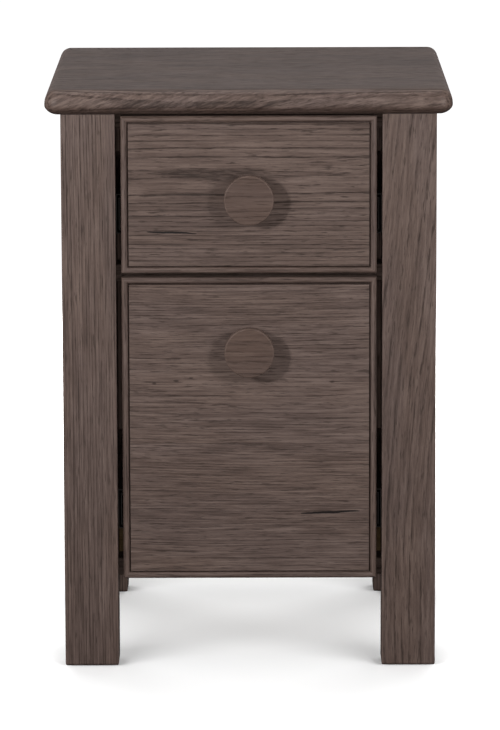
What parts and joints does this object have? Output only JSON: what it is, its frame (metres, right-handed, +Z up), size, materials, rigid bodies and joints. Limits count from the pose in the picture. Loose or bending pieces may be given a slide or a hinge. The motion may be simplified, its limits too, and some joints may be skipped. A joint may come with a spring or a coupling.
{
  "type": "nightstand",
  "caption": "Tall square oak nightstand with a thick bullnosed top, straight legs and two inset drawers framed by a round bead, each with a round knob, on telescopic slides.",
  "frame": {"origin": "on the floor, under the middle of the bounding box", "axes": "+Z up, +X to the right of someone who faces the drawers, the drawers open towards -Y"},
  "size_m": [0.457, 0.465, 0.664],
  "materials": {
    "stained_oak": "dark grey-brown stain, satin, open grain",
    "case_oak": "dark grey-brown stain, matte",
    "box_oak": "clear lacquer over pale wood",
    "plywood": "clear lacquer over veneer",
    "slide_steel": "black electrocoat, satin",
    "zinc_steel": "zinc-plated",
    "nylon": "matte"
  },
  "bodies": {
    "case": {"top_panel": "stained_oak", "front_left_leg": "stained_oak", "front_right_leg": "stained_oak", "rear_left_leg": "stained_oak", "rear_right_leg": "stained_oak", "left_side_panel": "stained_oak", "right_side_panel": "stained_oak", "back_panel": "plywood", "bottom_panel": "plywood", "front_top_rail": "case_oak", "divider_rail": "case_oak", "front_bottom_rail": "case_oak", "rear_top_rail": "case_oak", "rear_bottom_rail": "case_oak", "upper_left_runner": "case_oak", "upper_right_runner": "case_oak", "lower_left_runner": "case_oak", "lower_right_runner": "case_oak", "foot_glides": "nylon", "top_screws": "zinc_steel", "back_screws": "zinc_steel", "cabinet_slide_screws": "zinc_steel", "upper_outer_slides": "slide_steel", "lower_outer_slides": "slide_steel"},
    "upper_drawer": {"upper_drawer_front": "stained_oak", "upper_bead_rails": "stained_oak", "upper_bead_stiles": "stained_oak", "upper_box_front": "box_oak", "upper_box_back": "box_oak", "upper_box_left": "box_oak", "upper_box_right": "box_oak", "upper_box_bottom": "plywood", "upper_knob": "stained_oak", "upper_knob_screw": "zinc_steel", "upper_left_inner_slide": "slide_steel", "upper_right_inner_slide": "slide_steel", "upper_slide_screws": "zinc_steel", "upper_front_screws": "zinc_steel"},
    "upper_middle": {"upper_middle_slides": "slide_steel"},
    "upper_outer_cages": {"upper_outer_ball_cages": "zinc_steel"},
    "upper_inner_cages": {"upper_inner_ball_cages": "zinc_steel"},
    "lower_drawer": {"lower_drawer_front": "stained_oak", "lower_bead_rails": "stained_oak", "lower_bead_stiles": "stained_oak", "lower_box_front": "box_oak", "lower_box_back": "box_oak", "lower_box_left": "box_oak", "lower_box_right": "box_oak", "lower_box_bottom": "plywood", "lower_knob": "stained_oak", "lower_knob_screw": "zinc_steel", "lower_left_inner_slide": "slide_steel", "lower_right_inner_slide": "slide_steel", "lower_slide_screws": "zinc_steel", "lower_front_screws": "zinc_steel"},
    "lower_middle": {"lower_middle_slides": "slide_steel"},
    "lower_outer_cages": {"lower_outer_ball_cages": "zinc_steel"},
    "lower_inner_cages": {"lower_inner_ball_cages": "zinc_steel"}
  },
  "joints": [
    {"name": "upper_drawer_slide", "type": "slide", "parent": "case", "child": "upper_drawer", "axis": [0, -1, 0], "range_m": [0, 0.34]},
    {"name": "upper_middle_slide", "type": "slide", "parent": "case", "child": "upper_middle", "axis": [0, -1, 0], "range_m": [0, 0.17]},
    {"name": "upper_outer_cages_slide", "type": "slide", "parent": "case", "child": "upper_outer_cages", "axis": [0, -1, 0], "range_m": [0, 0.085]},
    {"name": "upper_inner_cages_slide", "type": "slide", "parent": "case", "child": "upper_inner_cages", "axis": [0, -1, 0], "range_m": [0, 0.255]},
    {"name": "lower_drawer_slide", "type": "slide", "parent": "case", "child": "lower_drawer", "axis": [0, -1, 0], "range_m": [0, 0.34]},
    {"name": "lower_middle_slide", "type": "slide", "parent": "case", "child": "lower_middle", "axis": [0, -1, 0], "range_m": [0, 0.17]},
    {"name": "lower_outer_cages_slide", "type": "slide", "parent": "case", "child": "lower_outer_cages", "axis": [0, -1, 0], "range_m": [0, 0.085]},
    {"name": "lower_inner_cages_slide", "type": "slide", "parent": "case", "child": "lower_inner_cages", "axis": [0, -1, 0], "range_m": [0, 0.255]}
  ],
  "couplings": [
    {"joint": "upper_middle_slide", "follows": "upper_drawer_slide", "ratio": 0.5},
    {"joint": "upper_outer_cages_slide", "follows": "upper_drawer_slide", "ratio": 0.25},
    {"joint": "upper_inner_cages_slide", "follows": "upper_drawer_slide", "ratio": 0.75},
    {"joint": "lower_middle_slide", "follows": "lower_drawer_slide", "ratio": 0.5},
    {"joint": "lower_outer_cages_slide", "follows": "lower_drawer_slide", "ratio": 0.25},
    {"joint": "lower_inner_cages_slide", "follows": "lower_drawer_slide", "ratio": 0.75}
  ]
}
